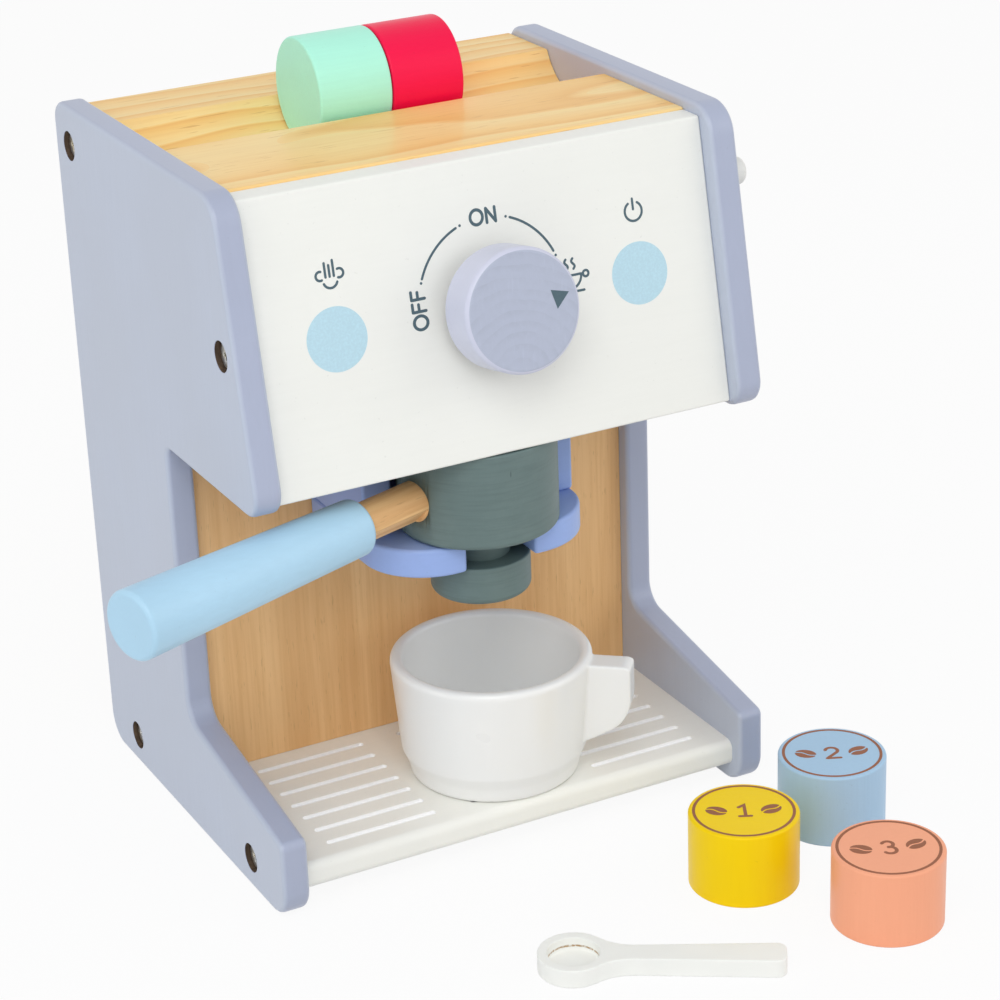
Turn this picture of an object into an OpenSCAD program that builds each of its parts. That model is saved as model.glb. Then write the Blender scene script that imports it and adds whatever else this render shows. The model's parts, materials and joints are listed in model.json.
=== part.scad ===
// Wooden toy coffee maker with a lift-out cup, five capsules and a spoon. Millimetres, +Z up, front faces -Y.
// Depths (names ending in _d) run forward from the case's rear edge; x is measured from its middle plane.

/* [Case] */
// Overall width over both side panels
case_w = 175; // [165:1:190]
// Height of the side panels
case_h = 230; // [228:1:240]
// Thickness of the case boards
board_t = 9; // [8:0.5:10]
// Depth of the head at its underside
head_d = 149.8; // [147:0.5:156]
// Height of the head's underside
head_z = 135; // [134:0.5:137]
// Lean of the sloping front, in degrees
head_lean = 11.3; // [9:0.1:13]
// Depth of the column behind the cup bay
column_d = 76.8; // [75:0.5:79]
// Depth of the feet
toe_d = 148.5; // [147:0.5:154]
// Height of the feet at the front
toe_h = 27.3; // [25:0.5:30]
// Height of the feet at the column
foot_h = 40; // [36:0.5:44]

/* [Case corners] */
// Radius of the rear bottom corner
rear_bottom_r = 10; // [6:0.5:12]
// Radius of the toe's bottom corner
toe_bottom_r = 10; // [6:0.5:12]
// Radius of the toe's top corner
toe_top_r = 3; // [2:0.5:5]
// Radius where the foot meets the column
foot_inner_r = 8; // [5:0.5:10]
// Radius where the head meets the column
head_inner_r = 3.5; // [2:0.5:6]
// Radius of the head's front bottom corner
head_bottom_r = 8; // [5:0.5:10]
// Radius of the head's front top corner
head_top_r = 11; // [8:0.5:13]
// Radius of the rear top corner
rear_top_r = 7; // [5:0.5:9]

/* [Front panel] */
// Distance of the panel's face behind the sides' front edge
panel_setback = 5.8; // [4:0.1:7]
// Step from the head's underside to the panel, along the slope
panel_step = 3.4; // [3:0.1:4.5]
// How far the panel's level upper edge lies below the top board's surface
panel_top_drop = 0.6; // [0:0.1:2]

/* [Top board] */
// Thickness of the top board
top_t = 20; // [18:0.5:22]
// How far the top board's surface lies below the side panels' top
top_drop = 3; // [2:0.5:4]
// Distance of the top board from the rear edge
top_rear_d = 1; // [0.5:0.5:3]
// Radius of the capsule groove
groove_r = 21; // [20:0.5:22]
// Depth position of the groove's middle
groove_d = 47.8; // [44:0.2:52]
// Height of the groove's centre line above the top board's surface
groove_rise = 8.6; // [7.6:0.2:9.6]

/* [Tray] */
// Height of the tray board's surface
tray_z = 15.4; // [14.5:0.1:18]
// How far the tray board's front edge lies behind the feet's front
tray_setback = 4.7; // [2:0.1:6]
// Depth position of the tray board's rear edge
tray_rear_d = 8; // [4:0.5:14]
// Width of one drip groove
drip_w = 2.4; // [2:0.1:3]
// Depth of one drip groove
drip_depth = 1; // [0.6:0.1:1.5]
// Spacing of the drip grooves
drip_pitch = 9; // [8.6:0.1:9.2]
// Number of drip grooves in each column
drip_rows = 7; // [5:1:7]
// Depth position of the rearmost drip groove
drip_first_d = 80; // [78:0.5:81]
// Length of a drip groove in the outer columns
drip_side_l = 38.6; // [30:0.2:40]
// Length of a drip groove in the middle column
drip_mid_l = 32.6; // [26:0.2:34]
// Gap between the columns of drip grooves
drip_gap = 12.5; // [11:0.1:14]
// Sideways offset of the drip grooves from the middle plane
drip_x = 1.3; // [-2:0.1:2]

/* [Back panel] */
// How far the back panel's face lies behind the column's front edge
back_setback = 5; // [2:0.5:7]

/* [Bracket] */
// Width of the bracket
bracket_w = 74.8; // [72:0.2:78]
// Height of the bracket block above the fork plate
block_h = 34; // [32:0.5:38]
// How far the bracket block's front face lies behind the portafilter's axis
block_lead = 5.5; // [4:0.5:7.5]
// Thickness of the fork plate
fork_t = 9.6; // [9:0.1:11]
// How far the fork's tips reach past the portafilter's axis
fork_reach = 15; // [12.5:0.5:17.5]
// Radius of the fork's outer corners
fork_corner_r = 22; // [16:1:24]
// Gap between the neck and the fork's slot, on each side
fork_play = 2.3; // [1.8:0.1:2.8]
// How far the slot's round end is centred behind the portafilter's axis
fork_slot_back = 1.5; // [0:0.1:1.7]

/* [Portafilter] */
// Depth position of the portafilter's axis
porta_d = 118.5; // [114:0.5:121]
// Radius of the basket
basket_r = 25.7; // [25.2:0.1:26.2]
// Height of the basket
basket_h = 31.1; // [30.5:0.1:31.6]
// Gap between the basket's rim and the front panel's lower edge
basket_clear = 0.3; // [0.2:0.1:2]
// Depth of the capsule pocket in the basket
pocket_depth = 20; // [16:0.5:20]
// Gap round the basket in the bracket's hollow
basket_gap = 2.3; // [1.8:0.1:3]
// Radius of the neck in the fork's slot
neck_r = 9.7; // [9:0.1:10.5]
// Radius of the spout
spout_r = 16.1; // [14:0.1:18]
// Height of the spout
spout_h = 12.8; // [11:0.1:15]
// Height of the handle's axis above the basket's base
handle_rise = 13.7; // [12.5:0.1:15.5]
// Direction of the handle, in degrees from +X
handle_angle = -161.1; // [-170:0.5:-150]
// How far the handle's axis passes behind the basket's axis
handle_back = 3; // [0:0.1:3.4]
// Diameter of the bare handle neck
handle_neck_dia = 13.2; // [12:0.1:13.8]
// Diameter of the grip at its outer end
grip_dia = 21.8; // [20:0.2:23]
// Diameter of the grip at the end that meets the neck
grip_inner_dia = 18.2; // [17.4:0.2:20]
// Distance from the basket's axis to the grip
grip_start = 50; // [46:0.2:56]
// Length of the grip
grip_l = 90.2; // [84:0.2:96]

/* [Knob] */
// How far the knob's centre lies below the top board's surface
knob_drop = 44.9; // [42:0.1:48]
// Radius of the knob
knob_r = 19.2; // [17:0.1:21]
// Thickness of the knob
knob_t = 14.6; // [12:0.1:16]
// Thickness of the spacer behind the knob
spacer_t = 5.1; // [3:0.1:6]
// Radius of the spacer
spacer_r = 10; // [8:0.5:12]
// Radius of the knob's axle
axle_r = 4; // [3.5:0.1:4.5]
// Radius of the collar that keeps the axle
collar_r = 9; // [7:0.5:12]
// Thickness of the collar
collar_t = 6; // [4:0.5:8]

/* [Side peg] */
// Radius of the peg
peg_r = 4.5; // [4:0.1:5]
// Length of the peg outside the panel
peg_l = 11.2; // [9:0.1:14]
// Depth position of the peg
peg_d = 118; // [112:0.5:122]
// How far the peg lies below the side panels' top
peg_drop = 26.4; // [20:0.2:32]

/* [Cup] */
// Sideways position of the cup
cup_x = 4.1; // [-4:0.1:5]
// How far the cup's axis lies behind the portafilter's
cup_back = 3.3; // [0:0.1:6]
// Height of the cup
cup_h = 41.6; // [38:0.2:46]
// Outer radius of the rim
cup_rim_r = 33.2; // [31:0.1:34]
// Radius of the body above the foot
cup_body_r = 30.6; // [29.6:0.1:31.2]
// Outer radius of the base
cup_base_r = 27.6; // [26.4:0.1:28]
// Height of the cup's foot
cup_foot_h = 5.5; // [4.5:0.5:6.5]
// Wall thickness of the cup
cup_wall = 4.2; // [3.4:0.1:4.6]
// Thickness of the cup's floor
cup_floor = 5; // [4:0.5:7]
// Direction of the cup's handle, in degrees from +X
cup_handle_angle = -39.5; // [-45:0.5:-30]
// Reach of the handle from the cup's axis
cup_handle_reach = 46.5; // [43:0.5:48]
// Thickness of the handle
cup_handle_t = 9; // [7:0.5:10]

/* [Capsules] */
// Radius of a capsule
capsule_r = 17.5; // [16.8:0.1:17.7]
// Height of a capsule
capsule_h = 25; // [22:0.5:26]
// Sideways position of the left capsule's outer face in the groove
capsule_row_x = -22.3; // [-40:0.1:0]

/* [Spoon] */
// Thickness of the spoon
spoon_t = 6; // [5.4:0.1:8]
// Radius of the spoon's head
spoon_head_r = 11; // [10.4:0.1:12.5]
// Radius of the hole that forms the bowl
spoon_bowl_r = 7.9; // [7:0.1:8.2]
// Depth of the bowl
spoon_bowl_depth = 4.2; // [4.1:0.1:4.6]
// Distance from the bowl's centre to the end of the handle
spoon_reach = 63.8; // [55:0.2:70]
// Width of the spoon's handle at the neck
spoon_neck_w = 8; // [7:0.1:9]
// Width of the spoon's handle at its end
spoon_end_w = 10.4; // [9.4:0.1:12]
// Direction of the spoon's handle, in degrees from +X
spoon_angle = -31.2; // [-40:0.2:-20]

/* [Fixings] */
// Radius of a screw head
head_r = 4; // [3.5:0.1:4.2]
// Thickness of a screw head
head_t = 2.4; // [2:0.1:2.8]
// Radius of a screw's shank
shank_r = 1.9; // [1.6:0.1:2.1]
// Length of a side screw's shank
shank_l = 28; // [22:0.5:32]
// Radius of the counterbore for a screw head
sink_r = 4.8; // [4.5:0.1:5.4]
// Depth of the counterbore
sink_depth = 4; // [3.2:0.1:4.5]
// Radius of the joining dowels
dowel_r = 2.5; // [2:0.1:3]
// Radius of the tenons on the neck and the peg
tenon_r = 3; // [2.5:0.1:3.4]

/* [Place of the set] */
// Distance of the case's middle plane to the right of the origin
set_x = 13.5; // [0:0.1:30]
// Distance of the case's rear edge behind the origin
set_y = 129.4; // [110:0.1:150]

/* [Hidden] */
$fn = 96;

// Clearance round a glued or screwed round piece in its hole, and round a running axle
hole_play = 0.05;
// Gap between faces that slide or turn past each other
face_gap = 0.3;
// Overshoot of a cutting body past the face that it cuts
over = 1;

// The front panel's face, as the point where it meets the sides' front edge at the head's underside
panel_face_d = head_d - panel_setback * cos(head_lean);
panel_face_z = head_z - panel_setback * sin(head_lean);
// Depth at height z of a plane that runs n behind the panel's face
function panel_d(z, n) = panel_face_d - n / cos(head_lean) - (z - panel_face_z) * tan(head_lean);

inner_w = case_w - 2 * board_t;
wall_x = case_w / 2;
inner_x = inner_w / 2;
top_z = case_h - top_drop;
panel_low_z = panel_face_z + panel_step * cos(head_lean);
panel_high_z = top_z - panel_top_drop;
knob_s = (top_z - knob_drop - panel_face_z) / cos(head_lean);
basket_z = panel_low_z - basket_clear - basket_h;
fork_z = basket_z - face_gap;
fork_bottom_z = fork_z - fork_t;
handle_z = basket_z + handle_rise;
spout_top_z = fork_bottom_z - 2 * face_gap;
spout_z = spout_top_z - spout_h;
groove_z = top_z + groove_rise;
peg_z = case_h - peg_drop;
tray_front_d = toe_d - tray_setback;
back_front_d = column_d - back_setback;
block_front_d = porta_d - block_lead;
fork_front_d = porta_d + fork_reach;
cup_d = porta_d - cup_back;
head_top_d = head_d - (case_h - head_z) * tan(head_lean);
top_bottom_z = top_z - top_t;
tray_mid_z = tray_z - board_t / 2;
back_mid_d = back_front_d - board_t / 2;
fork_slot_r = neck_r + fork_play;
hollow_r = basket_r + basket_gap;
handle_neck_r = handle_neck_dia / 2;
grip_hole = 24;
pocket_play = 0.7;
pocket_r = capsule_r + pocket_play;
socket_wall = 1;
socket_depth = basket_r - pocket_r - socket_wall;
cup_rim_edge_r = 1.9;
neck_tenon_r = 6;
neck_tenon_h = 6;
knob_back = face_gap + spacer_t;
knob_front_wall = 4;
knob_bore_depth = knob_t - knob_front_wall;
axle_back = board_t + face_gap + collar_t;
screw_seat = board_t - sink_depth;

// Side screws, as depth and height: into the top board, the front panel, and the rear and front of the tray
panel_screw_s = 50;
side_screws = [
    [12.6, top_z - top_t / 2],
    [panel_face_d - panel_screw_s * sin(head_lean) - board_t / 2 * cos(head_lean),
     panel_face_z + panel_screw_s * cos(head_lean) - board_t / 2 * sin(head_lean)],
    [25.7, tray_mid_z],
    [122.7, tray_mid_z]];

// Dowels in the edges of the back panel, as heights, and how far they reach each way
back_dowel_z = [60, 175];
back_dowel_out = 6;
back_dowel_in = 14;

// Screws and dowels of the bracket, as distances from the middle plane
bracket_screw_x = 22;
bracket_screw_l = 26;
bracket_screw_z = fork_z + block_h / 2;
fork_dowel_x = 24;
fork_dowel_d = back_front_d + 10;
fork_dowel_down = fork_t - 3;
fork_dowel_up = 10;

// Places of the loose pieces, as x and depth
capsule_yellow_at = [47.7, 199.4];
capsule_blue_at = [92.2, 182.4];
capsule_salmon_at = [73, 241.4];
spoon_at = [-23.5, 216.5];

// ---------- helpers ----------

// Moves a child to a point given as x, depth and height
module at(x, d, z) { translate([x, -d, z]) children(); }

// Stands a child up on the sloping panel: its Y runs up the slope and its Z points out of the face
module on_panel() { at(0, panel_face_d, panel_face_z) rotate([90 - head_lean, 0, 0]) children(); }

// Extrudes a side view, drawn as depth and height, from x to x + w
module side_view(x, w) {
    translate([x + w, 0, 0]) rotate([0, 0, -90]) rotate([90, 0, 0]) linear_extrude(w) children();
}

// Places a child at the whole set's place
module in_set() { translate([set_x, set_y, 0]) children(); }

function unit(v) = v / norm(v);
function corner_in(p, i) = unit(p[(i + len(p) - 1) % len(p)] - p[i]);
function corner_out(p, i) = unit(p[(i + 1) % len(p)] - p[i]);
function corner_half(p, i) = acos(corner_in(p, i) * corner_out(p, i)) / 2;
function corner_cut(p, r, i) = r[i] / tan(corner_half(p, i));
function corner_centre(p, r, i) =
    p[i] + unit(corner_in(p, i) + corner_out(p, i)) * r[i] / sin(corner_half(p, i));
function turns_left(p, i) = let (a = corner_in(p, i), b = corner_out(p, i)) a[1] * b[0] - a[0] * b[1] > 0;

// An outline that runs anticlockwise, with a true arc of the given radius at each corner
module rounded_outline(p, r) {
    difference() {
        union() {
            polygon([for (i = [0:len(p) - 1], k = [0, 1])
                p[i] + (k == 0 ? corner_in(p, i) : corner_out(p, i)) * corner_cut(p, r, i)]);
            for (i = [0:len(p) - 1])
                if (r[i] > 0 && turns_left(p, i)) translate(corner_centre(p, r, i)) circle(r[i]);
        }
        for (i = [0:len(p) - 1])
            if (r[i] > 0 && !turns_left(p, i)) translate(corner_centre(p, r, i)) circle(r[i]);
    }
}

// A turned disc of radius r and height h on the XY plane, with rounded lower and upper edges
module turned_disc(r, h, low_r, high_r) {
    cylinder(h = h, r = r - max(low_r, high_r));
    rotate_extrude() difference() {
        rounded_outline_half(r, h, low_r, high_r);
        translate([-2 * r, -over]) square([2 * r, h + 2 * over]);
    }
}

// Half section of a turned disc
module rounded_outline_half(r, h, low_r, high_r) {
    difference() {
        square([r, h]);
        translate([r - low_r, 0]) corner_waste(low_r, -1);
        translate([r - high_r, h]) corner_waste(high_r, 1);
    }
}

// What a rounded corner removes: a square less a quarter circle, below (-1) or above (1) the corner's height
module corner_waste(r, side) {
    if (r > 0) difference() {
        translate([0, side > 0 ? -r : 0]) square([r + over, r]);
        translate([0, -side * r]) circle(r);
    }
}

// A screw that points along -Z, with its head's underside at the origin and a cross recess
module screw(l) {
    recess_w = 1;
    recess_depth = 1.2;
    difference() {
        cylinder(h = head_t, r = head_r);
        for (a = [0, 90]) rotate(a) translate([-head_r / 2, -recess_w / 2, head_t - recess_depth])
            cube([head_r, recess_w, recess_depth + over]);
    }
    translate([0, 0, -l]) cylinder(h = l, r = shank_r);
}

// ---------- case ----------

module side_outline() {
    rounded_outline(
        [[0, 0], [toe_d, 0], [toe_d, toe_h], [column_d, foot_h], [column_d, head_z], [head_d, head_z],
         [head_top_d, case_h], [0, case_h]],
        [rear_bottom_r, toe_bottom_r, toe_top_r, foot_inner_r, head_inner_r, head_bottom_r, head_top_r,
         rear_top_r]);
}

// Holes through a side panel for its screws; side is -1 for the left panel and 1 for the right
module side_screw_holes(side) {
    for (s = side_screws) at(side * inner_x, s[0], s[1]) rotate([0, side * 90, 0]) {
        translate([0, 0, -over]) cylinder(h = board_t + 2 * over, r = shank_r + hole_play);
        translate([0, 0, screw_seat]) cylinder(h = sink_depth + over, r = sink_r);
    }
}

// Pilot holes of the side screws in the boards between the panels
module pilot_holes(screws) {
    for (side = [-1, 1], s = screws) at(side * (inner_x + over), s[0], s[1]) rotate([0, -side * 90, 0])
        cylinder(h = shank_l - screw_seat + face_gap + over, r = shank_r + hole_play);
}

// Dowels between the back panel and the side panels, with a play added for their holes
module back_dowels(play) {
    for (side = [-1, 1], z = back_dowel_z)
        at(side * (inner_x + back_dowel_out + play), back_mid_d, z) rotate([0, -side * 90, 0])
            cylinder(h = back_dowel_out + back_dowel_in + 2 * play, r = dowel_r + play);
}

module left_side_panel() {
    color("#b3bacd") in_set() difference() {
        side_view(-wall_x, board_t) side_outline();
        side_screw_holes(-1);
        back_dowels(hole_play);
    }
}

module right_side_panel() {
    color("#b3bacd") in_set() difference() {
        side_view(inner_x, board_t) side_outline();
        side_screw_holes(1);
        back_dowels(hole_play);
        at(inner_x + board_t, peg_d, peg_z) rotate([0, -90, 0]) peg_tenon(hole_play);
    }
}

module side_screws_of(side) {
    for (s = side_screws)
        at(side * (inner_x + screw_seat), s[0], s[1]) rotate([0, side * 90, 0]) screw(shank_l);
}

module left_side_screws() { color("silver") in_set() side_screws_of(-1); }

module right_side_screws() { color("silver") in_set() side_screws_of(1); }

module back_panel_dowels() { color("#d8b27c") in_set() back_dowels(0); }

// The front panel leans back, and its upper and lower edges are cut level
module front_panel() {
    color("#f0efe9") in_set() difference() {
        side_view(-inner_x, inner_w) polygon(
            [[panel_d(panel_low_z, board_t), panel_low_z], [panel_d(panel_low_z, 0), panel_low_z],
             [panel_d(panel_high_z, 0), panel_high_z], [panel_d(panel_high_z, board_t), panel_high_z]]);
        on_panel() translate([0, knob_s, -board_t - over])
            cylinder(h = board_t + 2 * over, r = axle_r + hole_play);
        pilot_holes([side_screws[1]]);
    }
}

module back_panel() {
    color("#d2a56e") in_set() difference() {
        at(-inner_x, back_front_d, tray_z) cube([inner_w, board_t, top_bottom_z - tray_z]);
        back_dowels(hole_play);
        bracket_screw_holes();
    }
}

// The top board's front edge leans back with the front panel that it meets
module top_board() {
    color("#e6c079") in_set() difference() {
        side_view(-inner_x, inner_w) polygon(
            [[top_rear_d, top_bottom_z], [panel_d(top_bottom_z, board_t), top_bottom_z],
             [panel_d(top_z, board_t), top_z], [top_rear_d, top_z]]);
        at(-inner_x - over, groove_d, groove_z) rotate([0, 90, 0])
            cylinder(h = inner_w + 2 * over, r = groove_r);
        pilot_holes([side_screws[0]]);
    }
}

// One column of drip grooves, centred on x
module drip_column(x, l) {
    straight = l - drip_w;
    for (i = [0:drip_rows - 1])
        at(x, drip_first_d + i * drip_pitch, tray_z - drip_depth) linear_extrude(drip_depth + over) {
            for (end = [-1, 1]) translate([end * straight / 2, 0]) circle(drip_w / 2);
            square([straight, drip_w], center = true);
        }
}

module tray_board() {
    tray_edge_r = 3;
    side_offset = (drip_mid_l + drip_side_l) / 2 + drip_gap;
    color("#f0efe9") in_set() difference() {
        side_view(-inner_x, inner_w) rounded_outline(
            [[tray_rear_d, tray_z - board_t], [tray_front_d, tray_z - board_t], [tray_front_d, tray_z],
             [tray_rear_d, tray_z]],
            [0, tray_edge_r, tray_edge_r, 0]);
        drip_column(drip_x, drip_mid_l);
        for (side = [-1, 1]) drip_column(drip_x + side * side_offset, drip_side_l);
        pilot_holes([side_screws[2], side_screws[3]]);
    }
}

module side_peg() {
    peg_edge_r = 2;
    color("#efeee8") in_set() at(wall_x, peg_d, peg_z) {
        rotate([0, 90, 0]) turned_disc(peg_r, peg_l, 0, peg_edge_r);
        rotate([0, -90, 0]) peg_tenon(0);
    }
}

// The part of the peg inside the panel, with a play added for its hole
module peg_tenon(play) {
    translate([0, 0, -play]) cylinder(h = board_t - 3 + 2 * play, r = tenon_r + play);
}

// ---------- bracket ----------

// Holes for the screws that come through the back panel into the block
module bracket_screw_holes() {
    for (side = [-1, 1]) at(side * bracket_screw_x, back_front_d - board_t - over, bracket_screw_z)
        rotate([90, 0, 0]) cylinder(h = bracket_screw_l + over + face_gap, r = shank_r + hole_play);
}

module bracket_screws() {
    color("silver") in_set() for (side = [-1, 1])
        at(side * bracket_screw_x, back_front_d - board_t, bracket_screw_z) rotate([-90, 0, 0])
            screw(bracket_screw_l);
}

// Dowels between the block and the fork plate, with a play added for their holes
module fork_dowel_set(play) {
    for (side = [-1, 1]) at(side * fork_dowel_x, fork_dowel_d, fork_z - fork_dowel_down - play)
        cylinder(h = fork_dowel_down + fork_dowel_up + 2 * play, r = dowel_r + play);
}

module fork_dowels() { color("#d8b27c") in_set() fork_dowel_set(0); }

// The block stands against the back panel, with a round hollow for the basket in its front
module bracket_block() {
    color("#a3b1e0") in_set() difference() {
        at(-bracket_w / 2, block_front_d, fork_z) cube([bracket_w, block_front_d - back_front_d, block_h]);
        at(0, porta_d, fork_z - over) cylinder(h = block_h + 2 * over, r = hollow_r);
        bracket_screw_holes();
        fork_dowel_set(hole_play);
    }
}

module fork_plate() {
    color("#a3b1e0") in_set() difference() {
        at(0, 0, fork_bottom_z) linear_extrude(fork_t) rounded_outline(
            [[-bracket_w / 2, -fork_front_d], [bracket_w / 2, -fork_front_d], [bracket_w / 2, -back_front_d],
             [-bracket_w / 2, -back_front_d]],
            [fork_corner_r, fork_corner_r, 0, 0]);
        at(0, porta_d - fork_slot_back, fork_bottom_z - over) {
            cylinder(h = fork_t + 2 * over, r = fork_slot_r);
            translate([-fork_slot_r, -fork_front_d, 0])
                cube([2 * fork_slot_r, fork_front_d, fork_t + 2 * over]);
        }
        fork_dowel_set(hole_play);
    }
}

// ---------- portafilter ----------

// Stands a child along the handle, with its Z running outward and its Y towards the front
module on_handle() {
    at(0, porta_d, handle_z) rotate([0, 0, handle_angle]) translate([0, -handle_back, 0]) rotate([0, 90, 0])
        children();
}

module basket() {
    color("#6b7c7a") in_set() difference() {
        at(0, porta_d, basket_z) turned_disc(basket_r, basket_h, 1.6, 0.6);
        at(0, porta_d, basket_z + basket_h - pocket_depth) cylinder(h = pocket_depth + over, r = pocket_r);
        at(0, porta_d, basket_z - over)
            cylinder(h = neck_tenon_h + over, r = neck_tenon_r + hole_play);
        on_handle() translate([0, 0, basket_r - socket_depth])
            cylinder(h = socket_depth + over, r = handle_neck_r + hole_play);
    }
}

// The bare neck is a dowel with one flat planed along its lower front
module handle_neck() {
    flat_depth = 1.5;
    flat_turn = 45;
    color("#d9a765") in_set() on_handle() difference() {
        translate([0, 0, basket_r - socket_depth + hole_play])
            cylinder(h = grip_start + grip_hole - basket_r + socket_depth - 2 * hole_play, r = handle_neck_r);
        rotate([0, 0, flat_turn]) translate([handle_neck_r - flat_depth, -handle_neck_r, basket_r])
            cube([2 * flat_depth, 2 * handle_neck_r, grip_start - basket_r]);
    }
}

// The grip tapers towards the neck
module grip() {
    grip_edge_r = 1.6;
    color("#9fd0ea") in_set() on_handle() translate([0, 0, grip_start]) difference() {
        rotate_extrude() rounded_outline(
            [[0, 0], [grip_inner_dia / 2, 0], [grip_dia / 2, grip_l], [0, grip_l]],
            [0, grip_edge_r, grip_edge_r, 0]);
        translate([0, 0, -over]) cylinder(h = grip_hole + over, r = handle_neck_r + hole_play);
    }
}

// The neck passes through the fork's slot, with a tenon above it for the basket and one below for the spout
module neck_dowel() {
    color("#5f706e") in_set() at(0, porta_d, 0) {
        translate([0, 0, spout_top_z]) cylinder(h = fork_z - spout_top_z, r = neck_r);
        translate([0, 0, fork_z]) cylinder(h = neck_tenon_h, r = neck_tenon_r);
        translate([0, 0, spout_top_z - neck_tenon_h]) cylinder(h = neck_tenon_h, r = neck_tenon_r);
    }
}

module spout() {
    color("#6b7c7a") in_set() at(0, porta_d, spout_z) difference() {
        turned_disc(spout_r, spout_h, 2.5, 0.6);
        translate([0, 0, spout_h - neck_tenon_h - hole_play])
            cylinder(h = neck_tenon_h + over, r = neck_tenon_r + hole_play);
    }
}

// ---------- knob ----------

// Moves a child to the knob's axis, at a height n above the panel's face
module on_knob_axis(n) { on_panel() translate([0, knob_s, n]) children(); }

module knob() {
    color("#b7bcd6") in_set() on_knob_axis(knob_back) difference() {
        turned_disc(knob_r, knob_t, 0.8, 1.8);
        translate([0, 0, -over]) cylinder(h = knob_bore_depth + over, r = axle_r + hole_play);
    }
}

module knob_spacer() {
    color("#d8b27c") in_set() on_knob_axis(face_gap) difference() {
        cylinder(h = spacer_t, r = spacer_r);
        translate([0, 0, -over]) cylinder(h = spacer_t + 2 * over, r = axle_r + hole_play);
    }
}

module knob_axle() {
    color("#d8b27c") in_set() on_knob_axis(-axle_back)
        cylinder(h = axle_back + knob_back + knob_bore_depth - hole_play, r = axle_r);
}

module knob_collar() {
    color("#d8b27c") in_set() on_knob_axis(-axle_back) difference() {
        cylinder(h = collar_t, r = collar_r);
        translate([0, 0, -over]) cylinder(h = collar_t + 2 * over, r = axle_r + hole_play);
    }
}

// ---------- cup, capsules and spoon ----------

// Half section of the cup's outside: foot, shoulder, wall and rounded rim
module cup_outside() {
    foot_flare = 1.2;
    shoulder_h = cup_foot_h + 4;
    rounded_outline(
        [[0, 0], [cup_base_r, 0], [cup_base_r + foot_flare, cup_foot_h], [cup_body_r, shoulder_h],
         [cup_rim_r, cup_h], [0, cup_h]],
        [0, 2, 1.5, 3, cup_rim_edge_r, 0]);
}

// Half section of the cup's hollow, which flares over the rounded rim
module cup_inside() {
    inner_taper = 2;
    mouth_r = cup_rim_r - cup_wall;
    rounded_outline(
        [[0, cup_floor], [cup_body_r - cup_wall - inner_taper, cup_floor], [mouth_r, cup_h],
         [mouth_r + cup_wall / 2, cup_h], [mouth_r + cup_wall / 2, cup_h + over], [0, cup_h + over]],
        [0, 4, cup_rim_edge_r, 0, 0, 0]);
}

// Side view of the cup's handle, a plate whose lower edge slopes up and runs round into its outer edge
module cup_handle_outline() {
    root_r = cup_base_r - 6;
    slope = 28;
    corner_h = cup_h / 2 - 0.3;
    handle_top = cup_h - 1.4;
    root_low_h = corner_h - (cup_handle_reach - root_r) * tan(slope);
    intersection() {
        rounded_outline(
            [[root_r, root_low_h], [cup_handle_reach, corner_h], [cup_handle_reach, 2 * cup_h],
             [root_r, 2 * cup_h]],
            [0, 14, 0, 0]);
        rounded_outline(
            [[root_r - over, 0], [cup_handle_reach + over, 0], [cup_handle_reach + over, handle_top],
             [root_r - over, handle_top]],
            [0, 0, 2.5 + over, 0]);
    }
}

module cup() {
    color("#f4f5f3") in_set() at(cup_x, cup_d, tray_z) difference() {
        union() {
            rotate_extrude() cup_outside();
            rotate([0, 0, cup_handle_angle]) translate([0, cup_handle_t / 2, 0]) rotate([90, 0, 0])
                linear_extrude(cup_handle_t) cup_handle_outline();
        }
        rotate_extrude() cup_inside();
    }
}

module capsule() {
    capsule_edge_r = 0.8;
    turned_disc(capsule_r, capsule_h, capsule_edge_r, capsule_edge_r);
}

// A capsule that stands on the ground, at a place given as x and depth
module standing_capsule(place) { at(place[0], place[1], 0) capsule(); }

// A capsule that lies in the groove, as the n-th from the left
module capsule_in_groove(n) {
    at(capsule_row_x + n * (capsule_h + face_gap), groove_d, groove_z - groove_r + face_gap + capsule_r)
        rotate([0, 90, 0]) capsule();
}

module capsule_mint() { color("#9be3cb") in_set() capsule_in_groove(0); }

module capsule_red() { color("#d8203f") in_set() capsule_in_groove(1); }

module capsule_yellow() { color("#ffdd00") in_set() standing_capsule(capsule_yellow_at); }

module capsule_blue() { color("#a8cfe6") in_set() standing_capsule(capsule_blue_at); }

module capsule_salmon() { color("#f79a80") in_set() standing_capsule(capsule_salmon_at); }

// The spoon's handle, with a true arc on each side that runs into the round head. The arcs dip a hair into
// the head and stay a hair off the handle's edge, so that nothing only grazes.
module spoon_handle() {
    blend_r = 16;
    hair = 0.03;
    end_r = 3.2;
    half_w = spoon_neck_w / 2;
    half_end = spoon_end_w / 2;
    rise = half_w + blend_r + hair;
    reach = sqrt(pow(spoon_head_r + blend_r - hair, 2) - pow(rise, 2));
    touch = [reach, rise] * spoon_head_r / norm([reach, rise]);
    difference() {
        rounded_outline(
            [[touch[0], -touch[1]], [reach, -half_w], [spoon_reach, -half_end], [spoon_reach, half_end],
             [reach, half_w], touch],
            [0, 0, end_r, end_r, 0, 0]);
        for (side = [-1, 1]) translate([reach, side * rise]) circle(blend_r);
    }
}

module spoon() {
    color("#f4f5f3") in_set() at(spoon_at[0], spoon_at[1], 0) rotate([0, 0, spoon_angle]) difference() {
        linear_extrude(spoon_t) union() {
            circle(spoon_head_r);
            spoon_handle();
        }
        translate([0, 0, spoon_t - spoon_bowl_depth]) cylinder(h = spoon_bowl_depth + over, r = spoon_bowl_r);
    }
}

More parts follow.
